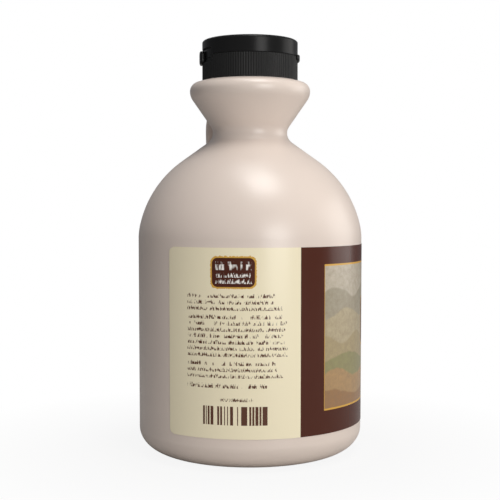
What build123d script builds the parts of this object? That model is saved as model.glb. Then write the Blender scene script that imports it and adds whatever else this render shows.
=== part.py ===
from build123d import *
from math import cos, radians, sin
import os

# A squat round syrup jug of opaque plastic, with a finger loop at its neck,
# a wrapped film label and a shut flip-top closure.
# The origin is the centre of the foot, +Z is up, the label's front faces -Y
# and the finger loop stands on +X. All sizes are in millimetres and degrees.

# Jug: foot, heel and straight panel, which widens a little towards the top
body_radius = 50.3
panel_taper = 0.15
panel_top_height = 96.64
heel_round_width = 14.0
heel_round_height = 11.0
foot_ring_width = 5.0
push_up_depth = 3.0
push_up_crown = 0.4

# Jug: shoulder, dome and waist. An angle is how far the outline leans in from upright.
shoulder_start = 2.0
shoulder_radius = 29.9
shoulder_end = 12.7
dome_radius = 48.04
dome_end = 54.5
waist_radius = 16.82
waist_fillet = 5.31

# Jug: flared collar that carries the closure
closure_radius = 21.55
collar_overhang = 5.59
flare_angle = 34.8
collar_lower_round = 6.96
collar_upper_round = 3.99
collar_top_slope = 14.7

# Finger loop, measured along the middle of its oval strap
loop_reach = 39.4
loop_width = 16.8
loop_thickness = 7.2
loop_corner_radius = 9.0
loop_below_collar = 6.6
loop_grip_radius = 34.0
loop_grip_turn = 22.0
loop_root_fillet = 2.2

# Label film, with a gap at the back of the jug
label_above_heel = 3.56
label_below_shoulder = 3.06
label_thickness = 0.15
label_gap_angle = 55.6
label_corner = 2.4
back_direction = 90.0

# Closure
base_height = 10.73
lid_height = 7.65
lid_round_width = 2.4
lid_round_height = 1.3
seam_chamfer = 0.12

# Hinge side of the closure: a pocket across the seam, with a strap standing in it
hinge_direction = 73.0
pocket_half_angle = 36.0
pocket_depth = 0.9
pocket_below_seam = 3.5
pocket_above_seam = 3.3
strap_half_angle = 11.0
strap_proud = 1.3
strap_below_pocket_top = 0.8
strap_round = 0.55

# Thumb tab of the lid, opposite the hinge
tab_half_angle = 20.0
tab_proud = 0.95
tab_above_seam = 0.9
tab_below_seam = 1.85
tab_clearance = 0.1
tab_root = 0.6
tab_round = 0.4

# Sizes that follow from those above
panel_top_radius = body_radius + panel_taper
foot_outer_radius = body_radius - heel_round_width
foot_inner_radius = foot_outer_radius - foot_ring_width
collar_radius = closure_radius + collar_overhang
cone_end_radius = waist_radius + waist_fillet * (1 - cos(radians(dome_end)))
flare_start_radius = waist_radius + waist_fillet * (1 - cos(radians(flare_angle)))
flare_end_radius = collar_radius - collar_lower_round * (1 - cos(radians(flare_angle)))
label_bottom = heel_round_height + label_above_heel
label_top = panel_top_height - label_below_shoulder


def radial_plane(angle):
    """Upright plane through the axis: local x points outwards at the angle, local y points up."""
    outward = (cos(radians(angle)), sin(radians(angle)), 0)
    sideways = (sin(radians(angle)), -cos(radians(angle)), 0)
    return Plane(origin=(0, 0, 0), x_dir=outward, z_dir=sideways)


def panel_radius(height):
    """Radius of the jug's straight panel at a height between the heel and the shoulder."""
    share = (height - heel_round_height) / (panel_top_height - heel_round_height)
    return body_radius + share * panel_taper


# Jug: one solid, its outline a chain of lines and arcs that each start along the end of the last
with BuildPart() as jug:
    with BuildSketch(Plane.XZ):
        with BuildLine():
            foot = Line((foot_inner_radius, 0), (foot_outer_radius, 0))
            heel = EllipticalCenterArc(
                (foot_outer_radius, heel_round_height),
                heel_round_width,
                heel_round_height,
                start_angle=-90,
                arc_size=90,
            )
            panel = Line(heel @ 1, (panel_top_radius, panel_top_height))
            start_direction = (-sin(radians(shoulder_start)), cos(radians(shoulder_start)))
            shoulder = JernArc(panel @ 1, start_direction, shoulder_radius, shoulder_end - shoulder_start)
            dome = JernArc(shoulder @ 1, shoulder % 1, dome_radius, dome_end - shoulder_end)
            cone_length = ((dome @ 1).X - cone_end_radius) / sin(radians(dome_end))
            cone = PolarLine(dome @ 1, cone_length, 90 + dome_end)
            waist = JernArc(cone @ 1, cone % 1, waist_fillet, -(dome_end + flare_angle))
            flare_length = (flare_end_radius - flare_start_radius) / sin(radians(flare_angle))
            flare = PolarLine(waist @ 1, flare_length, 90 - flare_angle)
            collar_below = JernArc(flare @ 1, flare % 1, collar_lower_round, flare_angle)
            collar_above = JernArc(collar_below @ 1, collar_below % 1, collar_upper_round, 90 - collar_top_slope)
            slope_length = ((collar_above @ 1).X - closure_radius) / cos(radians(collar_top_slope))
            collar_top = PolarLine(collar_above @ 1, slope_length, 180 - collar_top_slope)
            dome_foot_height = (shoulder @ 1).Y
            collar_height = (collar_below @ 1).Y
            seat_height = (collar_top @ 1).Y
            Line(collar_top @ 1, (0, seat_height))
            Line((0, seat_height), (0, push_up_depth))
            SagittaArc((0, push_up_depth), foot @ 0, push_up_crown)
        make_face()
    revolve(axis=Axis.Z)

    # The loop leaves the collar's underside level, turns down, and runs on under the dome's skin
    loop_top = collar_height - loop_below_collar
    with BuildLine(Plane.XZ) as loop_path:
        bridge = Line((waist_radius / 2, loop_top), (loop_reach - loop_corner_radius, loop_top))
        corner = JernArc(bridge @ 1, (1, 0), loop_corner_radius, -90)
        grip = JernArc(corner @ 1, (0, -1), loop_grip_radius, -loop_grip_turn)
        landing_length = ((grip @ 1).Z - dome_foot_height) / cos(radians(loop_grip_turn))
        landing = PolarLine(grip @ 1, landing_length, -90 - loop_grip_turn)
    with BuildSketch(Plane(origin=bridge @ 0, x_dir=(0, 1, 0), z_dir=(1, 0, 0))):
        Ellipse(loop_width / 2, loop_thickness / 2)
    sweep(path=loop_path.wires()[0])
    loop_roots = jug.edges(Select.NEW).filter_by(GeomType.BSPLINE)
    fillet(loop_roots, loop_root_fillet)
jug.part.label = "jug"

seam_height = seat_height + base_height
closure_top = seam_height + lid_height

# Label: a thin film wrapped on the panel, its four corners rounded
with BuildPart() as label:
    with BuildSketch(radial_plane(back_direction + label_gap_angle / 2)):
        with BuildLine():
            Polyline(
                (panel_radius(label_bottom), label_bottom),
                (panel_radius(label_bottom) + label_thickness, label_bottom),
                (panel_radius(label_top) + label_thickness, label_top),
                (panel_radius(label_top), label_top),
                close=True,
            )
        make_face()
    revolve(axis=Axis.Z, revolution_arc=360 - label_gap_angle)
    film_corners = label.edges().filter_by(lambda edge: edge.length < 2 * label_thickness)
    fillet(film_corners, label_corner)
label.part.label = "label"

# Closure base: a low round skirt with the lower half of the hinge pocket
with BuildPart() as cap_base:
    with BuildSketch(Plane.XY.offset(seat_height)):
        Circle(closure_radius)
    extrude(amount=base_height)
    chamfer(cap_base.edges().group_by(Axis.Z)[-1], seam_chamfer)
    with BuildSketch(radial_plane(hinge_direction - pocket_half_angle)):
        with Locations((closure_radius - pocket_depth, seam_height - pocket_below_seam)):
            Rectangle(2 * pocket_depth, pocket_below_seam, align=(Align.MIN, Align.MIN))
    revolve(axis=Axis.Z, revolution_arc=2 * pocket_half_angle, mode=Mode.SUBTRACT)
cap_base.part.label = "cap_base"

# Lid: a shallow cap with a rounded top edge, the upper half of the pocket and the thumb tab
with BuildPart() as cap_lid:
    with BuildSketch(Plane.XZ):
        with BuildLine():
            lid_side = Polyline(
                (0, seam_height),
                (closure_radius - seam_chamfer, seam_height),
                (closure_radius, seam_height + seam_chamfer),
                (closure_radius, closure_top - lid_round_height),
            )
            lid_round = EllipticalCenterArc(
                (closure_radius - lid_round_width, closure_top - lid_round_height),
                lid_round_width,
                lid_round_height,
                start_angle=0,
                arc_size=90,
            )
            Polyline(lid_round @ 1, (0, closure_top), lid_side @ 0)
        make_face()
    revolve(axis=Axis.Z)
    with BuildSketch(radial_plane(hinge_direction - pocket_half_angle)):
        with Locations((closure_radius - pocket_depth, seam_height)):
            Rectangle(2 * pocket_depth, pocket_above_seam, align=(Align.MIN, Align.MIN))
    revolve(axis=Axis.Z, revolution_arc=2 * pocket_half_angle, mode=Mode.SUBTRACT)

    # The tab's lip hangs below the seam, clear of the base
    tab_outer = closure_radius + tab_proud
    tab_inner = closure_radius + tab_clearance
    with BuildSketch(radial_plane(hinge_direction + 180 - tab_half_angle)):
        with BuildLine():
            Polyline(
                (closure_radius - tab_root, seam_height + seam_chamfer),
                (tab_inner, seam_height + seam_chamfer),
                (tab_inner, seam_height - tab_below_seam),
                (tab_outer, seam_height - tab_below_seam),
                (tab_outer, seam_height + tab_above_seam),
                (closure_radius - tab_root, seam_height + tab_above_seam),
                close=True,
            )
        make_face()
    revolve(axis=Axis.Z, revolution_arc=2 * tab_half_angle)
    tab_rim = cap_lid.edges().filter_by(
        lambda edge: edge.geom_type == GeomType.CIRCLE and abs(edge.radius - tab_outer) < tab_clearance
    )
    fillet(tab_rim, tab_round)
cap_lid.part.label = "cap_lid"

# Hinge strap: a rounded band that stands in the pocket and bridges the seam
with BuildPart() as cap_hinge:
    strap_height = pocket_below_seam + pocket_above_seam - strap_below_pocket_top
    with BuildSketch(radial_plane(hinge_direction - strap_half_angle)):
        with Locations((closure_radius - pocket_depth, seam_height - pocket_below_seam)):
            Rectangle(pocket_depth + strap_proud, strap_height, align=(Align.MIN, Align.MIN))
    revolve(axis=Axis.Z, revolution_arc=2 * strap_half_angle)
    strap_rims = cap_hinge.edges().filter_by(
        lambda edge: edge.geom_type == GeomType.CIRCLE and edge.radius > closure_radius
    )
    strap_corners = cap_hinge.edges().filter_by(Axis.Z).filter_by(
        lambda edge: Vector(edge.center().X, edge.center().Y).length > closure_radius
    )
    fillet(strap_rims + strap_corners, strap_round)
cap_hinge.part.label = "cap_hinge"

os.makedirs("parts", exist_ok=True)
export_step(jug.part, "parts/jug.step")
export_step(label.part, "parts/label.step")
export_step(cap_base.part, "parts/cap_base.step")
export_step(cap_lid.part, "parts/cap_lid.step")
export_step(cap_hinge.part, "parts/cap_hinge.step")
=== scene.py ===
import bmesh
import bpy
import numpy as np
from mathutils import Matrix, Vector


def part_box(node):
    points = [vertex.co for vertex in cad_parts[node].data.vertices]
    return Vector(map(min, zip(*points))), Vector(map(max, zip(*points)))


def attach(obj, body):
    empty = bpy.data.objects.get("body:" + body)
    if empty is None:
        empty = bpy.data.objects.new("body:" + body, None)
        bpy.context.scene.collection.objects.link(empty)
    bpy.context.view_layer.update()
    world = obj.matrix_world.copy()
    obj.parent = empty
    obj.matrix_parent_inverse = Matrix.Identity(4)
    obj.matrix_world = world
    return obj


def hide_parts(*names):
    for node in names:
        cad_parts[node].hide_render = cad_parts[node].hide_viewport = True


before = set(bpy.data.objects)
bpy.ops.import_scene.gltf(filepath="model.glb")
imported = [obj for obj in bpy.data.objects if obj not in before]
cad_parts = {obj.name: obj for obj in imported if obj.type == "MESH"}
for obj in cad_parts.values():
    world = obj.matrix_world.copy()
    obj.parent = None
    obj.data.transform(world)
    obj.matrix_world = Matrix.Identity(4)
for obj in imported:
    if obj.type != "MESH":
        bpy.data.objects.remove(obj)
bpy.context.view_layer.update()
MM = 0.001

# Studio. A white sweep under the jug and four soft boxes, in front, high up, at its right and
# overhead. The camera looks at the jug's near side from a little above half its height.

camera_azimuth = -110.0
camera_distance = 0.483
camera_height = 0.1123
camera_pitch = 2.59
camera_lens = 76.4
camera_sensor = 36.0

towards_camera = np.radians(camera_azimuth)
camera = bpy.data.objects.new("camera", bpy.data.cameras.new("camera"))
camera.data.lens = camera_lens
camera.data.sensor_width = camera_sensor
camera.location = (
    camera_distance * np.sin(towards_camera),
    -camera_distance * np.cos(towards_camera),
    camera_height,
)
camera.rotation_euler = (np.radians(90.0 - camera_pitch), 0.0, towards_camera)
bpy.context.collection.objects.link(camera)
bpy.context.scene.camera = camera
bpy.context.scene.view_settings.view_transform = "Standard"

warm_white = (1.0, 0.99, 0.97)
warmer_white = (1.0, 0.98, 0.95)
lamp_aim_height = 0.1


def soft_box(name, turn, distance, height, width, depth, radiance, tint):
    """A rectangular lamp that faces the jug's axis, turned so many degrees right of the camera."""
    lamp = bpy.data.lights.new(name, "AREA")
    lamp.shape = "RECTANGLE"
    lamp.size = width
    lamp.size_y = depth
    lamp.energy = radiance * np.pi * width * depth
    lamp.color = tint
    holder = bpy.data.objects.new(name, lamp)
    side = np.radians(camera_azimuth + turn)
    holder.location = (distance * np.sin(side), -distance * np.cos(side), height)
    holder.rotation_euler = (np.arctan2(distance, height - lamp_aim_height), 0.0, side)
    bpy.context.collection.objects.link(holder)


soft_box("front_box", 27.0, 0.90, 0.24, 0.36, 0.50, 6.6, warm_white)
soft_box("key_box", 30.0, 0.36, 1.02, 0.40, 0.40, 8.0, warm_white)
soft_box("side_box", 104.0, 0.90, 0.26, 0.60, 0.60, 2.2, warmer_white)
soft_box("top_box", 10.0, 0.06, 1.20, 0.46, 0.46, 2.8, warm_white)


def put(tree, kind, links=None, **settings):
    """A shader node with its settings, and each named input linked to a socket or set to a value."""
    made = tree.nodes.new(kind)
    for key, value in settings.items():
        setattr(made, key, value)
    for key, value in (links or {}).items():
        socket = made.inputs[key]
        if isinstance(value, bpy.types.NodeSocket):
            tree.links.new(value, socket)
        else:
            socket.default_value = value
    return made


def calc(tree, operation, first, second=0.0, clamp=False):
    """The output of a Math node on two sockets or numbers."""
    return put(tree, "ShaderNodeMath", {0: first, 1: second}, operation=operation, use_clamp=clamp).outputs[0]


sky_tint = (0.93, 0.95, 1.0, 1.0)
sky_strength = 0.22
pure_white = (1.0, 1.0, 1.0, 1.0)

world = bpy.data.worlds.new("white_room")
world.use_nodes = True
bpy.context.scene.world = world
sky = world.node_tree
sky.nodes.clear()
sky_ray = put(sky, "ShaderNodeLightPath").outputs["Is Camera Ray"]
sky_dim = put(sky, "ShaderNodeBackground", {"Color": sky_tint, "Strength": sky_strength})
sky_white = put(sky, "ShaderNodeBackground", {"Color": pure_white, "Strength": 1.0})
sky_mix = put(sky, "ShaderNodeMixShader", {0: sky_ray, 1: sky_dim.outputs[0], 2: sky_white.outputs[0]})
put(sky, "ShaderNodeOutputWorld", {"Surface": sky_mix.outputs[0]})

# The sweep shows a trace of the jug's shadow near its foot, and plain white further out
floor_half = 3.0
floor_grey = (0.50, 0.49, 0.48, 1.0)
shadow_start, shadow_end = 0.06, 0.16
white_at_foot = 0.90

floor_corners = floor_half * np.array([[-1, -1, 0], [1, -1, 0], [1, 1, 0], [-1, 1, 0]])
floor_mesh = bpy.data.meshes.new("floor")
floor_mesh.from_pydata(floor_corners.tolist(), [], [(0, 1, 2, 3)])
floor = bpy.data.objects.new("floor", floor_mesh)
bpy.context.collection.objects.link(floor)
paper = bpy.data.materials.new("floor_paper")
paper.use_nodes = True
tree = paper.node_tree
tree.nodes.clear()
place = put(tree, "ShaderNodeTexCoord").outputs["Object"]
reach = put(tree, "ShaderNodeVectorMath", {0: place}, operation="LENGTH").outputs["Value"]
far = put(
    tree,
    "ShaderNodeMapRange",
    {"Value": reach, "From Min": shadow_start, "From Max": shadow_end, "To Min": white_at_foot},
)
seen = put(tree, "ShaderNodeLightPath").outputs["Is Camera Ray"]
plain = put(tree, "ShaderNodeBsdfDiffuse", {"Color": floor_grey})
glow = put(tree, "ShaderNodeEmission", {"Color": pure_white, "Strength": 1.0})
share = calc(tree, "MULTIPLY", far.outputs[0], seen)
both = put(tree, "ShaderNodeMixShader", {0: share, 1: plain.outputs[0], 2: glow.outputs[0]})
put(tree, "ShaderNodeOutputMaterial", {"Surface": both.outputs[0]})
floor.data.materials.append(paper)

# Jug. One blow-moulded bottle of opaque beige polyethylene with a soft gloss: foot, straight panel,
# dome, waist and flared collar, and a finger loop at the neck. It is a profile spun about the axis
# and an oval strap carried along its path.

jug_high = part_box("jug")[1]
base_low, base_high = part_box("cap_base")
seat_height = jug_high[2]
seam_height = base_high[2]
closure_radius = (base_high[0] - base_low[0]) / 2
panel_top_radius = jug_high[0]
body_radius = panel_top_radius - 0.15 * MM
panel_top_height = 96.64 * MM
heel_round = (14.0 * MM, 11.0 * MM)
foot_ring_width = 5.0 * MM
push_up_depth = 3.0 * MM
push_up_bend = 1.4
shoulder_start, shoulder_end, dome_end = 2.0, 12.7, 54.5
shoulder_radius = 29.9 * MM
dome_radius = 48.04 * MM
waist_radius = 16.82 * MM
waist_fillet = 5.31 * MM
flare_angle = 34.8
collar_radius = closure_radius + 5.59 * MM
collar_rounds = (6.96 * MM, 3.99 * MM)
collar_top_slope = 14.7
push_up_points = 24
seat_points = 3


def arc(centre, radius, first, last, step):
    """Points of a circle, or of an ellipse given two radii, from one angle to another in degrees."""
    angle = np.radians(np.linspace(first, last, int(abs(last - first) / step) + 2))
    radii = np.broadcast_to(radius, 2)
    return np.array(centre) + np.stack([radii[0] * np.cos(angle), radii[1] * np.sin(angle)], axis=1)


def tangent_arc(start, radius, first, last, step):
    """An arc from a point whose outward normal leans first degrees up; a hollow one has radius < 0."""
    normal = np.array([np.cos(np.radians(first)), np.sin(np.radians(first))])
    return arc(np.array(start) - radius * normal, radius, first, last, step)


def slant_to_radius(start, radius, normal_angle):
    """The end of a straight line at a given radius, along a wall whose normal leans so far up."""
    rise = (start[0] - radius) / np.tan(np.radians(normal_angle))
    return np.array([[radius, start[1] + rise]])


def jug_profile():
    """Radius and height from the foot's middle to the seat's, one tangent piece after another."""
    foot_outer = body_radius - heel_round[0]
    foot_inner = foot_outer - foot_ring_width
    across = np.linspace(0.0, 1.0, push_up_points)[:, None] * foot_inner
    push_up = np.hstack([across, push_up_depth * (1 - (across / foot_inner) ** 2) ** push_up_bend])
    heel = arc((foot_outer, heel_round[1]), heel_round, -90, 0, 4.0)
    panel = np.linspace(heel[-1], (panel_top_radius, panel_top_height), 14)
    shoulder = tangent_arc(panel[-1], shoulder_radius, shoulder_start, shoulder_end, 1.5)
    dome = tangent_arc(shoulder[-1], dome_radius, shoulder_end, dome_end, 1.5)
    cone_end = waist_radius + waist_fillet * (1 - np.cos(np.radians(dome_end)))
    cone = slant_to_radius(dome[-1], cone_end, dome_end)
    waist = tangent_arc(cone[-1], -waist_fillet, dome_end, -flare_angle, 4.0)
    flare_end = collar_radius - collar_rounds[0] * (1 - np.cos(np.radians(flare_angle)))
    flare = slant_to_radius(waist[-1], flare_end, -flare_angle)
    below = tangent_arc(flare[-1], collar_rounds[0], -flare_angle, 0, 4.0)
    above = tangent_arc(below[-1], collar_rounds[1], 0, 90 - collar_top_slope, 6.0)
    seat_radii = np.linspace(closure_radius, 0.0, seat_points)
    seat = np.stack([seat_radii, np.full(seat_points, seat_height)], axis=1)
    wall = [heel, panel[1:], shoulder[1:], dome[1:], cone, waist[1:], flare, below[1:], above[1:]]
    return np.vstack([push_up, *wall, seat])


def grid_faces(rows, columns, wrap):
    """Quads of a grid of points stored row by row, closed around each row where wrap is true."""
    row = np.arange(rows - 1)[:, None] * columns
    column = np.arange(columns if wrap else columns - 1)[None, :]
    following = (column + 1) % columns
    above = row + columns
    corners = [row + column, row + following, above + following, above + column]
    return np.stack(corners, axis=-1).reshape(-1, 4)


merge_distance = 0.001 * MM


def mesh_piece(name, shells, smooth_angle):
    """One object from shells of points and faces; doubles are merged, and normals face outwards."""
    starts = np.cumsum([0] + [len(shell[0]) for shell in shells[:-1]])
    points = np.vstack([shell[0] for shell in shells])
    faces = np.vstack([shell[1] + start for shell, start in zip(shells, starts)])
    mesh = bpy.data.meshes.new(name)
    mesh.from_pydata(points.tolist(), [], faces.tolist())
    piece = bpy.data.objects.new(name, mesh)
    bpy.context.collection.objects.link(piece)
    work = bmesh.new()
    work.from_mesh(mesh)
    bmesh.ops.remove_doubles(work, verts=work.verts, dist=merge_distance)
    bmesh.ops.recalc_face_normals(work, faces=work.faces)
    work.to_mesh(mesh)
    work.free()
    mesh.shade_smooth()
    mesh.set_sharp_from_angle(angle=np.radians(smooth_angle))
    return piece


def spun(profile, columns):
    """A profile of radius and height turned about the axis: x = r cos a, y = r sin a."""
    angle = np.linspace(0.0, 2 * np.pi, columns, endpoint=False)
    radius, height = profile[:, :1], profile[:, 1:]
    points = np.stack([radius * np.cos(angle), radius * np.sin(angle), height + 0 * angle], axis=2)
    return points.reshape(-1, 3), grid_faces(len(profile), columns, True)


collar_zone = 12.0 * MM
loop_reach = 39.4 * MM
loop_width = 16.8 * MM
loop_thickness = 7.2 * MM
loop_corner = 9.0 * MM
loop_below_collar = 6.6 * MM
loop_grip_radius = 34.0 * MM
loop_grip_turn = 22.0
loop_landing = 14.0 * MM
loop_run_points = 24
root_spread = 2.6 * MM
root_start = 0.3 * loop_thickness
root_fade = 2.2 * MM


def loop_path(profile):
    """The strap's middle in the x-z plane, a bridge, corner, bowed grip and landing, and its normals."""
    collar = np.argmax(np.where(profile[:, 1] > seat_height - collar_zone, profile[:, 0], 0))
    top = profile[collar, 1] - loop_below_collar
    bridge = np.linspace((waist_radius, top), (loop_reach - loop_corner, top), loop_run_points)
    corner = arc((loop_reach - loop_corner, top - loop_corner), loop_corner, 90, 0, 5.0)
    grip_centre = (loop_reach - loop_grip_radius, top - loop_corner)
    grip = arc(grip_centre, loop_grip_radius, 0, -loop_grip_turn, 1.5)
    lean = np.radians(-90 - loop_grip_turn)
    run = np.linspace(0.0, loop_landing, loop_run_points)[:, None]
    landing = grip[-1] + run * np.array([np.cos(lean), np.sin(lean)])
    path = np.vstack([bridge, corner[1:], grip[1:], landing[1:]])
    along = np.gradient(path, axis=0)
    along /= np.linalg.norm(along, axis=1)[:, None]
    return path, np.stack([-along[:, 1], along[:, 0]], axis=1)


def strap(profile, around=72):
    """An oval carried along the loop's path, which widens by s exp(-d / f) at a distance d from the wall."""
    path, outward = loop_path(profile)
    wall = profile[push_up_points : -seat_points - 1]
    wall_radius = np.interp(path[:, 1], wall[:, 1], wall[:, 0])
    distance = np.linalg.norm(path[:, None, :] - profile[None, :, :], axis=2).min(axis=1)
    clear = np.where(path[:, 0] > wall_radius, distance, 0.0)
    spread = root_spread * np.exp(-np.maximum(clear - root_start, 0) / root_fade)
    turn = np.linspace(0, 2 * np.pi, around, endpoint=False)
    across = (loop_thickness / 2 + spread)[:, None] * np.cos(turn)
    side = (loop_width / 2 + spread)[:, None] * np.sin(turn)
    out = path[:, :1] + outward[:, :1] * across
    up = path[:, 1:] + outward[:, 1:] * across
    points = np.stack([out, side, up], axis=2)
    first, last = (np.tile(points[row].mean(axis=0), (around, 1)) for row in (0, -1))
    return np.vstack([first, points.reshape(-1, 3), last]), grid_faces(len(path) + 2, around, True)


profile = jug_profile()
jug = mesh_piece("jug_bottle", [spun(profile, 256), strap(profile)], 60.0)


def blank_material(name):
    """An empty material and its tree, ready for a Principled shader."""
    made = bpy.data.materials.new(name)
    made.use_nodes = True
    made.node_tree.nodes.clear()
    return made, made.node_tree


def linear(red, green, blue):
    """A linear colour from the 0 to 255 values that it should show as."""
    shown = np.array([red, green, blue]) / 255.0
    flat = np.where(shown <= 0.04045, shown / 12.92, ((shown + 0.055) / 1.055) ** 2.4)
    return tuple(flat.tolist()) + (1.0,)


def over(tree, mask, below, above):
    """A colour laid over another where the mask is 1."""
    mix = put(tree, "ShaderNodeMix", {"Factor": mask, "A": below, "B": above}, data_type="RGBA")
    return mix.outputs["Result"]


def finish_material(tree, colour, roughness, bump_height, bump_depth, specular):
    """A Principled shader with a varying colour and roughness, a bump and a plain specular level."""
    bump = put(tree, "ShaderNodeBump", {"Height": bump_height, "Distance": bump_depth, "Strength": 1.0})
    look = {
        "Base Color": colour,
        "Roughness": roughness,
        "Normal": bump.outputs[0],
        "Specular IOR Level": specular,
    }
    shader = put(tree, "ShaderNodeBsdfPrincipled", look)
    put(tree, "ShaderNodeOutputMaterial", {"Surface": shader.outputs[0]})


def new_group(name, inputs, outputs):
    """An empty shader node group with its sockets, and the outputs of its input node."""
    group = bpy.data.node_groups.new(name, "ShaderNodeTree")
    for title, kind in inputs:
        group.interface.new_socket(title, in_out="INPUT", socket_type="NodeSocket" + kind)
    for title, kind in outputs:
        group.interface.new_socket(title, in_out="OUTPUT", socket_type="NodeSocket" + kind)
    return group, put(group, "NodeGroupInput").outputs


def moulded_skin_group():
    """A moulded surface: a slow mottle, and a fine orange peel, both as values round one half."""
    inputs = [("Position", "Vector"), ("Peel Scale", "Float")]
    group, entry = new_group("moulded_skin", inputs, [("Mottle", "Float"), ("Peel", "Float")])
    mottle = put(group, "ShaderNodeTexNoise", {"Vector": entry[0], "Scale": 38.0, "Detail": 3.0})
    peel = put(group, "ShaderNodeTexNoise", {"Vector": entry[0], "Scale": entry[1], "Detail": 2.0})
    put(group, "NodeGroupOutput", {"Mottle": mottle.outputs["Fac"], "Peel": peel.outputs["Fac"]})
    return group


moulded_skin = moulded_skin_group()


def skin_of(tree, peel_scale, low_rough, high_rough):
    """The mottle and peel of a moulded surface on Object coordinates, and a roughness from its mottle."""
    place = put(tree, "ShaderNodeTexCoord").outputs["Object"]
    values = {"Position": place, "Peel Scale": peel_scale}
    skin = put(tree, "ShaderNodeGroup", values, node_tree=moulded_skin).outputs
    range_of = {"Value": skin["Mottle"], "To Min": low_rough, "To Max": high_rough}
    return skin["Mottle"], skin["Peel"], put(tree, "ShaderNodeMapRange", range_of).outputs[0]


jug_shades = (linear(222, 207, 196), linear(227, 212, 201))
jug_finish, tree = blank_material("beige_polyethylene")
mottle, peel, roughness = skin_of(tree, 900.0, 0.30, 0.36)
finish_material(tree, over(tree, mottle, *jug_shades), roughness, peel, 0.02 * MM, 0.6)
jug.data.materials.append(jug_finish)
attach(jug, "root")
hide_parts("jug")

# Label. A thin printed film wrapped on the panel with a gap at the back and rounded corners: a brown
# front field with a framed picture, and two cream side fields with a badge, small print and bars, or
# a table. The print is drawn in millimetres round the film from its front middle and up it.

label_low, label_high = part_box("label")
label_bottom, label_top = label_low[2], label_high[2]
label_thickness = label_high[0] - panel_top_radius
label_half_turn = np.radians(180.0 - 55.6 / 2)
label_corner = 2.4 * MM
film_clearance = 0.01 * MM
film_radius_mm = 50.6


def film(rows=96, columns=420):
    """Outer and inner sheets: x = r sin t, y = -r cos t, with a half turn that shortens in the corners."""
    height = np.linspace(label_bottom, label_top, rows)
    from_edge = np.minimum(height - label_bottom, label_top - height)
    inset = label_corner - np.minimum(from_edge, label_corner)
    cut = (label_corner - np.sqrt(label_corner**2 - inset**2)) / panel_top_radius
    turn = np.linspace(-1, 1, columns)[None, :] * (label_half_turn - cut)[:, None]
    share = (height - heel_round[1]) / (panel_top_height - heel_round[1])
    wall = (body_radius + share * (panel_top_radius - body_radius))[:, None]
    level = height[:, None] + 0 * turn
    radii = (wall + label_thickness, wall + film_clearance)
    return [np.stack([radius * np.sin(turn), -radius * np.cos(turn), level], axis=2) for radius in radii]


def film_piece(name):
    """Both sheets joined round their rim, with UVs in metres from the film's front middle and foot."""
    outer, inner = film()
    rows, columns = outer.shape[:2]
    faces = grid_faces(rows, columns, False)
    index = np.arange(rows * columns).reshape(rows, columns)
    rim = np.concatenate([index[0], index[1:, -1], index[-1, -2::-1], index[-2:0:-1, 0]])
    after = np.roll(rim, -1)
    sides = np.stack([rim, rim + rows * columns, after + rows * columns, after], axis=1)
    points = np.vstack([outer.reshape(-1, 3), inner.reshape(-1, 3)])
    piece = mesh_piece(name, [(points, np.vstack([faces, faces + rows * columns, sides]))], 40.0)
    corner_points = np.empty(len(piece.data.loops), dtype=np.int32)
    piece.data.loops.foreach_get("vertex_index", corner_points)
    place = np.empty(len(piece.data.vertices) * 3)
    piece.data.vertices.foreach_get("co", place)
    place = place.reshape(-1, 3)[corner_points]
    around = np.arctan2(place[:, 0], -place[:, 1]) * film_radius_mm * MM
    layer = piece.data.uv_layers.new(name="wrap")
    layer.data.foreach_set("uv", np.stack([around, place[:, 2] - label_bottom], axis=1).ravel())
    return piece


label = film_piece("label_film")


def box_mask_group():
    """1 inside a rounded box: its distance is |max(q, 0)| + min(max(qx, qy), 0) - r, q = |p - c| - h + r."""
    sockets = ["X", "Y", "Centre X", "Centre Y", "Half Width", "Half Height", "Round", "Soft"]
    group, entry = new_group("box_mask", [(title, "Float") for title in sockets], [("Mask", "Float")])
    reach = []
    for axis in (0, 1):
        offset = calc(group, "ABSOLUTE", calc(group, "SUBTRACT", entry[axis], entry[2 + axis]))
        straight = calc(group, "SUBTRACT", entry[4 + axis], entry[6])
        reach.append(calc(group, "SUBTRACT", offset, straight))
    outside = [calc(group, "MAXIMUM", value, 0.0) for value in reach]
    squares = [calc(group, "MULTIPLY", value, value) for value in outside]
    corner = calc(group, "SQRT", calc(group, "ADD", *squares))
    inside = calc(group, "MINIMUM", calc(group, "MAXIMUM", *reach), 0.0)
    distance = calc(group, "SUBTRACT", calc(group, "ADD", corner, inside), entry[6])
    mask = calc(group, "SUBTRACT", 0.5, calc(group, "DIVIDE", distance, entry[7]), clamp=True)
    put(group, "NodeGroupOutput", {"Mask": mask})
    return group


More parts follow.
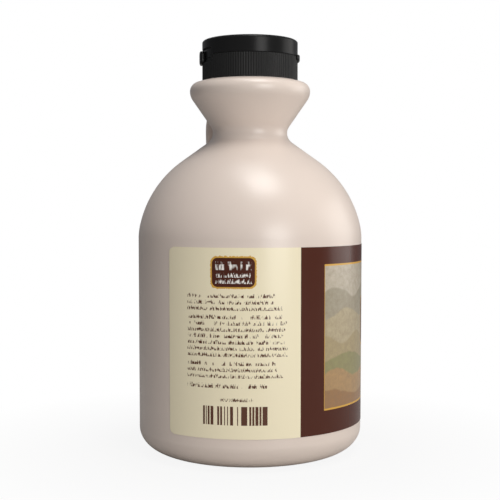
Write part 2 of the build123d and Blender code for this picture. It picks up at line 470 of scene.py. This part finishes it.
def small_print_group():
    """Rows of word-like dashes: a row is the floor of y over the pitch, words and strokes are noise."""
    sockets = ["X", "Y", "Left", "Top", "Width", "Rows", "Pitch", "Letter", "Ragged", "Seed"]
    group, entry = new_group("small_print", [(title, "Float") for title in sockets], [("Mask", "Float")])
    row_key, words_per_mm, gap_level, gap_edge = 7.31, 0.55, 0.33, 24.0
    stroke_width, stroke_height, ink_level, ink_edge = 0.27, 0.8, 0.40, 5.0
    tall_zone, tall_loss = 0.34, 0.17
    along = calc(group, "SUBTRACT", entry["X"], entry["Left"])
    down = calc(group, "DIVIDE", calc(group, "SUBTRACT", entry["Top"], entry["Y"]), entry["Pitch"])
    within = calc(group, "MULTIPLY", calc(group, "FRACT", down), entry["Pitch"])
    key = calc(group, "MULTIPLY", calc(group, "FLOOR", down), row_key)
    key = calc(group, "ADD", key, entry["Seed"])
    dice = put(group, "ShaderNodeTexWhiteNoise", {"W": key}, noise_dimensions="1D").outputs["Value"]
    row_end = calc(group, "SUBTRACT", entry["Width"], calc(group, "MULTIPLY", dice, entry["Ragged"]))

    def noise_at(x, y, z):
        """Plain noise at a place given by three sockets or numbers."""
        place = put(group, "ShaderNodeCombineXYZ", {"X": x, "Y": y, "Z": z}).outputs[0]
        values = {"Vector": place, "Scale": 1.0, "Detail": 0.0}
        return put(group, "ShaderNodeTexNoise", values).outputs[0]

    word = noise_at(calc(group, "MULTIPLY", along, words_per_mm), key, 0.0)
    in_word = calc(group, "MULTIPLY", calc(group, "SUBTRACT", word, gap_level), gap_edge, clamp=True)
    stroke_x = calc(group, "DIVIDE", along, calc(group, "MULTIPLY", entry["Letter"], stroke_width))
    stroke_y = calc(group, "DIVIDE", within, calc(group, "MULTIPLY", entry["Letter"], stroke_height))
    stroke = noise_at(stroke_x, stroke_y, key)
    in_top = calc(group, "LESS_THAN", within, calc(group, "MULTIPLY", entry["Letter"], tall_zone))
    level = calc(group, "ADD", calc(group, "MULTIPLY", in_top, tall_loss), ink_level)
    mask = calc(group, "MULTIPLY", calc(group, "SUBTRACT", stroke, level), ink_edge, clamp=True)
    for part in (
        in_word,
        calc(group, "LESS_THAN", within, entry["Letter"]),
        calc(group, "GREATER_THAN", along, 0.0),
        calc(group, "LESS_THAN", along, row_end),
        calc(group, "GREATER_THAN", down, 0.0),
        calc(group, "LESS_THAN", down, entry["Rows"]),
    ):
        mask = calc(group, "MULTIPLY", mask, part)
    put(group, "NodeGroupOutput", {"Mask": mask})
    return group


box_mask = box_mask_group()
small_print = small_print_group()


def box_field(tree, x, y, left, right, low, high, rounding=0.0, soft=0.08):
    """The mask of a rounded box on the film, given by its sides in millimetres."""
    sizes = {
        "X": x,
        "Y": y,
        "Centre X": (left + right) / 2,
        "Centre Y": (low + high) / 2,
        "Half Width": (right - left) / 2,
        "Half Height": (high - low) / 2,
        "Round": rounding,
        "Soft": soft,
    }
    return put(tree, "ShaderNodeGroup", sizes, node_tree=box_mask).outputs["Mask"]


def print_rows(tree, x, y, left, top, width, rows, pitch, letter, ragged, seed):
    """The mask of a block of small print, given in millimetres."""
    sizes = {
        "X": x,
        "Y": y,
        "Left": left,
        "Top": top,
        "Width": width,
        "Rows": float(rows),
        "Pitch": pitch,
        "Letter": letter,
        "Ragged": ragged,
        "Seed": seed,
    }
    return put(tree, "ShaderNodeGroup", sizes, node_tree=small_print).outputs["Mask"]


cream = linear(244, 233, 202)
brown = linear(76, 36, 24)
ink_brown = linear(92, 58, 44)
gold = linear(212, 164, 74)
badge_white = linear(240, 236, 230)
front_edge = np.radians(85.4) * film_radius_mm
picture_edge = np.radians(71.8) * film_radius_mm
film_height = (label_top - label_bottom) / MM

label_print, tree = blank_material("printed_film")
wrap = put(tree, "ShaderNodeUVMap", uv_map="wrap").outputs[0]
across_up = put(tree, "ShaderNodeSeparateXYZ", {0: wrap}).outputs
x = calc(tree, "MULTIPLY", across_up[0], 1 / MM)
y = calc(tree, "MULTIPLY", across_up[1], 1 / MM)
front_field = box_field(tree, x, y, -front_edge, front_edge, -1.0, film_height + 1.0)
colour = over(tree, front_field, cream, brown)

# Near side field: a brown badge with a rough gold edge and three short lines in white
badge_left, badge_right, badge_low, badge_high = -113.8, -94.4, 62.2, 75.6
badge_rim = 0.7
roughening = 1.1
rough = put(tree, "ShaderNodeTexNoise", {"Vector": wrap, "Scale": 900.0, "Detail": 1.0}).outputs["Fac"]
wobble = calc(tree, "MULTIPLY", calc(tree, "SUBTRACT", rough, 0.5), roughening)
rough_x = calc(tree, "ADD", x, wobble)
rough_y = calc(tree, "ADD", y, wobble)
badge_edge = box_field(tree, rough_x, rough_y, badge_left, badge_right, badge_low, badge_high, 2.9, 0.2)
badge_field = box_field(
    tree,
    x,
    y,
    badge_left + badge_rim,
    badge_right - badge_rim,
    badge_low + badge_rim,
    badge_high - badge_rim,
    2.4,
    0.1,
)
colour = over(tree, badge_edge, colour, gold)
colour = over(tree, badge_field, colour, brown)
for left, top, width, letter, seed in (
    (-111.6, 73.4, 15.2, 3.5, 3.7),
    (-111.3, 68.7, 14.4, 1.9, 8.1),
    (-111.7, 66.2, 15.4, 1.9, 1.9),
):
    line = print_rows(tree, x, y, left, top, width, 1, letter, letter, 0.0, seed)
    colour = over(tree, line, colour, badge_white)

# Four blocks of small print in brown ink, and a short line of it over the bars
print_left = -124.6
print_pitch = 2.6
for top, width, rows, letter, ragged, seed in (
    (60.1, 42.6, 3, 1.7, 6.0, 11.43),
    (51.4, 43.4, 7, 1.7, 3.0, 23.37),
    (32.2, 41.6, 3, 1.7, 5.0, 37.61),
    (23.0, 34.8, 1, 1.9, 0.0, 41.29),
):
    block = print_rows(tree, x, y, print_left, top, width, rows, print_pitch, letter, ragged, seed)
    colour = over(tree, block, colour, ink_brown)
line = print_rows(tree, x, y, -111.3, 17.1, 15.4, 1, 1.7, 1.5, 0.0, 53.77)
colour = over(tree, line, colour, ink_brown)

# Bars: random stripes of one width, inked where their dice are high
bar_width = 0.42
bar_share = 0.45
bar_number = calc(tree, "FLOOR", calc(tree, "DIVIDE", x, bar_width))
bar_dice = put(tree, "ShaderNodeTexWhiteNoise", {"W": bar_number}, noise_dimensions="1D").outputs["Value"]
bar_block = box_field(tree, x, y, -117.2, -89.6, 5.8, 13.6)
bars = calc(tree, "MULTIPLY", calc(tree, "GREATER_THAN", bar_dice, bar_share), bar_block)
colour = over(tree, bars, colour, ink_brown)

# Far side field: a plain ruled table
table_left, table_right, table_low, table_high = 82.0, 126.0, 8.0, 72.0
table_line = 0.4
table_step = 4.0
rule_share = 0.07
table_frame = box_field(tree, x, y, table_left, table_right, table_low, table_high, 0.6)
table_inside = box_field(
    tree,
    x,
    y,
    table_left + table_line,
    table_right - table_line,
    table_low + table_line,
    table_high - table_line,
    0.4,
)
colour = over(tree, calc(tree, "SUBTRACT", table_frame, table_inside, clamp=True), colour, ink_brown)
up_table = calc(tree, "FRACT", calc(tree, "DIVIDE", calc(tree, "SUBTRACT", y, table_low), table_step))
table_rule = calc(tree, "MULTIPLY", calc(tree, "LESS_THAN", up_table, rule_share), table_inside)
colour = over(tree, table_rule, colour, ink_brown)
block = print_rows(tree, x, y, table_left + 2.0, table_high - 1.0, 36.0, 15, table_step, 1.8, 14.0, 61.53)
colour = over(tree, block, colour, ink_brown)

# Front picture: hazy rolling ground under a pale sky, in a thin gold frame, with a bare plaque
picture_low, picture_high = 9.9, 71.7
frame_side, frame_top = 0.25, 0.75
ridge_drift, ridge_edge, speck_share = 6.0, 1.2, 0.8
plaque_half, plaque_low, plaque_high = 30.0, 34.0, 56.0
plaque_rim, plaque_round = 0.7, 4.0
picture_frame = box_field(tree, x, y, -picture_edge, picture_edge, picture_low, picture_high, 0.3)
picture_inside = box_field(
    tree,
    x,
    y,
    -picture_edge + frame_side,
    picture_edge - frame_side,
    picture_low + frame_top,
    picture_high - frame_top,
    0.2,
)
drift = put(tree, "ShaderNodeTexNoise", {"Vector": wrap, "Scale": 55.0, "Detail": 3.0}).outputs["Fac"]
ripple = calc(tree, "MULTIPLY", calc(tree, "SUBTRACT", drift, 0.5), ridge_drift)
view = linear(196, 186, 168)
for level, swing, length, phase, tone in (
    (60.0, 2.2, 31.0, 0.4, (168, 160, 140)),
    (50.0, 2.8, 44.0, 2.1, (186, 172, 142)),
    (40.0, 2.4, 27.0, 4.0, (176, 160, 124)),
    (31.0, 2.0, 53.0, 1.2, (150, 146, 104)),
    (25.0, 1.8, 36.0, 5.1, (180, 146, 104)),
    (17.0, 1.6, 47.0, 3.3, (158, 120, 84)),
):
    wave = calc(tree, "SINE", calc(tree, "ADD", calc(tree, "MULTIPLY", x, 2 * np.pi / length), phase))
    ridge = calc(tree, "ADD", calc(tree, "MULTIPLY", wave, swing), level)
    ridge = calc(tree, "ADD", ridge, ripple)
    ground = calc(tree, "MULTIPLY", calc(tree, "SUBTRACT", ridge, y), ridge_edge, clamp=True)
    view = over(tree, ground, view, linear(*tone))
grain_look = {"Vector": wrap, "Scale": 420.0, "Detail": 5.0, "Roughness": 0.7}
grain = put(tree, "ShaderNodeTexNoise", grain_look).outputs["Fac"]
speck = put(tree, "ShaderNodeMapRange", {"Value": grain, "From Min": 0.3, "From Max": 0.7}).outputs[0]
shaded = over(tree, 0.55, view, linear(128, 112, 92))
view = over(tree, calc(tree, "MULTIPLY", speck, speck_share), view, shaded)
colour = over(tree, picture_frame, colour, gold)
colour = over(tree, picture_inside, colour, view)
plaque = box_field(tree, x, y, -plaque_half, plaque_half, plaque_low, plaque_high, plaque_round)
plaque_field = box_field(
    tree,
    x,
    y,
    -plaque_half + plaque_rim,
    plaque_half - plaque_rim,
    plaque_low + plaque_rim,
    plaque_high - plaque_rim,
    3.4,
)
colour = over(tree, plaque, colour, gold)
colour = over(tree, plaque_field, colour, brown)

mottle, peel, roughness = skin_of(tree, 300.0, 0.22, 0.28)
finish_material(tree, colour, roughness, peel, 0.01 * MM, 0.32)
label.data.materials.append(label_print)
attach(label, "root")
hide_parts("label")

# Closure. A shut flip-top of black polypropylene, one moulding: a finely ribbed skirt and a smooth
# lid that meet at a seam, a strap in a shallow pocket with an arched seam each side of it, and a
# thumb tab opposite. Heights and radii of skirt and lid are functions of the angle.

closure_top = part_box("cap_lid")[1][2]
hinge_direction = np.radians(73.0)
rib_count = 120
rib_relief = 0.16 * MM
rib_fade = 0.5 * MM
lid_round = (2.4 * MM, 1.3 * MM)
edge_round = 0.18 * MM
seam_gap = 0.10 * MM
pocket_depth = 0.9 * MM
pocket_waist, pocket_flare = np.radians(33.0), np.radians(3.5)
pocket_wall = np.radians(3.2)
pocket_rim = 0.82
pocket_below, pocket_above = 3.2 * MM, 3.3 * MM
arch_crown = np.radians(23.37)
arch_half = np.radians(13.0)
arch_drop, arch_rise = 1.15 * MM, 1.7 * MM
arch_end = np.radians(1.0)
closure_angle = np.linspace(0, 2 * np.pi, 1080, endpoint=False)


def smooth_step(value, low, high):
    """0 below low, 1 above high, and the cubic 3t^2 - 2t^3 between."""
    t = np.clip((value - low) / (high - low), 0.0, 1.0)
    return t * t * (3 - 2 * t)


def from_hinge(angle):
    """Angle from the hinge's middle, always positive."""
    return np.abs((angle - hinge_direction + np.pi) % (2 * np.pi) - np.pi)


def seam_line(angle):
    """Height of the seam: level, and in the pocket an arch, a parabola each side of the strap."""
    away = from_hinge(angle)
    arch = seam_height - arch_drop - arch_rise * np.minimum((away - arch_crown) ** 2 / arch_half**2, 1.0)
    outer = arch_crown + arch_half
    inside = 1 - smooth_step(away, outer, outer + arch_end)
    return seam_height + inside * (arch - seam_height)


def pocket(angle, height):
    """Depth of the hinge pocket: full inside an outline narrow at the seam, and easing out at its edges."""
    middle = seam_height + (pocket_above - pocket_below) / 2
    offset = (height - middle) / ((pocket_above + pocket_below) / 2)
    edge = pocket_waist + pocket_flare * np.clip(np.abs(offset), 0, 1) ** 2
    sideways = 1 - smooth_step(from_hinge(angle), edge - pocket_wall, edge)
    upright = 1 - smooth_step(np.abs(offset), pocket_rim, 1.0)
    return pocket_depth * sideways * upright


def closure_shell(levels, radii):
    """A closed shell from rows of heights and radii over the angle, with a pole at each end."""
    shape = (len(radii), len(closure_angle))
    levels = np.broadcast_to(levels, shape)
    points = np.stack([radii * np.cos(closure_angle), radii * np.sin(closure_angle), levels], axis=2)
    return points.reshape(-1, 3), grid_faces(*shape, True)


def flat_levels(level, rows):
    """A height given for each angle, or one height for all, repeated over so many rows."""
    return np.broadcast_to(level, (rows, len(closure_angle)))


def skirt_shell():
    """The ribbed base: wall radius less a raised cosine of 120 waves, faded at the foot and in the pocket."""
    top = seam_line(closure_angle) - seam_gap / 2
    share = np.linspace(0, 1, 30)[:, None]
    levels = seat_height + share * (top - edge_round - seat_height)
    depth = pocket(closure_angle, levels)
    fade = smooth_step(levels, seat_height, seat_height + rib_fade) * (1 - depth / pocket_depth)
    ribs = 0.5 - 0.5 * np.cos(rib_count * closure_angle)
    radii = closure_radius - depth - rib_relief * ribs * fade
    turn = np.linspace(0, np.pi / 2, 5)[1:, None]
    rim_levels = top - edge_round * (1 - np.sin(turn))
    rim_radii = radii[-1] - edge_round * (1 - np.cos(turn))
    foot = np.array([[0.0], [0.6]]) * radii[:1]
    cap = np.array([[0.9], [0.5], [0.0]]) * rim_radii[-1:]
    levels = np.vstack([flat_levels(levels[0], 2), levels, rim_levels, flat_levels(top, 3)])
    return closure_shell(levels, np.vstack([foot, radii, rim_radii, cap]))


def lid_shell():
    """The lid: underside, wall up from the seam with the pocket in it, an elliptical edge and a flat top."""
    bottom = seam_line(closure_angle) + seam_gap / 2
    shoulder = closure_top - lid_round[1]
    share = np.linspace(0, 1, 34)[:, None]
    levels = bottom + edge_round + share * (shoulder - bottom - edge_round)
    radii = closure_radius - pocket(closure_angle, levels)
    turn = np.linspace(0, np.pi / 2, 5)[:-1, None]
    rim_levels = bottom + edge_round * (1 - np.cos(turn))
    rim_radii = radii[0] - edge_round * (1 - np.sin(turn))
    over_turn = np.linspace(0, np.pi / 2, 13)[1:, None] + 0 * closure_angle
    round_levels = shoulder + lid_round[1] * np.sin(over_turn)
    round_radii = closure_radius - lid_round[0] * (1 - np.cos(over_turn))
    underside = np.array([[0.0], [0.5], [0.9]]) * rim_radii[:1]
    cap = np.array([[0.93], [0.6], [0.3], [0.0]]) * round_radii[-1:]
    levels = [flat_levels(bottom, 3), rim_levels, levels, round_levels, flat_levels(closure_top, 4)]
    return closure_shell(np.vstack(levels), np.vstack([underside, rim_radii, radii, round_radii, cap]))


def squared(value, power):
    """A sine or cosine raised to a power below 1 with its sign kept, which makes a round form boxy."""
    return np.sign(value) * np.abs(value) ** power


def rounded_pad(centre_angle, half_turn, low, high, inner, outer, power, rows=28, columns=56):
    """A superellipsoid bent round the axis: powers of cos and sin give its angle, radius and height."""
    latitude = np.linspace(-np.pi / 2, np.pi / 2, rows)[:, None]
    longitude = np.linspace(0, 2 * np.pi, columns, endpoint=False)[None, :]
    sideways = squared(np.cos(latitude), power) * squared(np.cos(longitude), power)
    outward = squared(np.cos(latitude), power) * squared(np.sin(longitude), power)
    upward = squared(np.sin(latitude), power) * np.ones_like(longitude)
    angle = centre_angle + half_turn * sideways
    radius = (inner + outer) / 2 + (outer - inner) / 2 * outward
    level = (low + high) / 2 + (high - low) / 2 * upward
    points = np.stack([radius * np.cos(angle), radius * np.sin(angle), level], axis=2)
    return points.reshape(-1, 3), grid_faces(rows, columns, True)


tab_low, tab_high = seam_height - 1.85 * MM, seam_height + 0.9 * MM
tab_root, tab_proud = 0.3 * MM, 0.95 * MM
tab_half_turn = np.radians(20.0)
tab_squareness = 0.45
strap_low, strap_high = (corner[2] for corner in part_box("cap_hinge"))
strap_root, strap_proud = pocket_depth + 0.2 * MM, 1.3 * MM
strap_half_turn = np.radians(11.43)
strap_squareness = 0.38

tab_pad = rounded_pad(
    hinge_direction + np.pi,
    tab_half_turn,
    tab_low,
    tab_high,
    closure_radius - tab_root,
    closure_radius + tab_proud,
    tab_squareness,
)
strap_pad = rounded_pad(
    hinge_direction,
    strap_half_turn,
    strap_low,
    strap_high,
    closure_radius - strap_root,
    closure_radius + strap_proud,
    strap_squareness,
)
skirt = mesh_piece("closure_skirt", [skirt_shell()], 35.0)
lid = mesh_piece("closure_lid", [lid_shell(), tab_pad], 35.0)
hinge = mesh_piece("closure_hinge", [strap_pad], 50.0)


def black_finish(name, shade, low_rough, high_rough):
    """Black polypropylene: a near-black shade with a mottle, its roughness, and a very fine peel."""
    made, tree = blank_material(name)
    mottle, peel, roughness = skin_of(tree, 1400.0, low_rough, high_rough)
    dark, light = (linear(tone, tone, tone) for tone in (shade - 2, shade + 2))
    finish_material(tree, over(tree, mottle, dark, light), roughness, peel, 0.008 * MM, 0.12)
    return made


lid_finish = black_finish("black_gloss", 27, 0.26, 0.32)
skirt_finish = black_finish("black_satin", 36, 0.40, 0.48)
for piece, node, slot, finish in (
    (skirt, "cap_base", "closure_ribbed", skirt_finish),
    (lid, "cap_lid", "closure_gloss", lid_finish),
    (hinge, "cap_hinge", "closure_gloss", lid_finish),
):
    piece.data.materials.append(finish)
    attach(piece, "root")
    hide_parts(node)
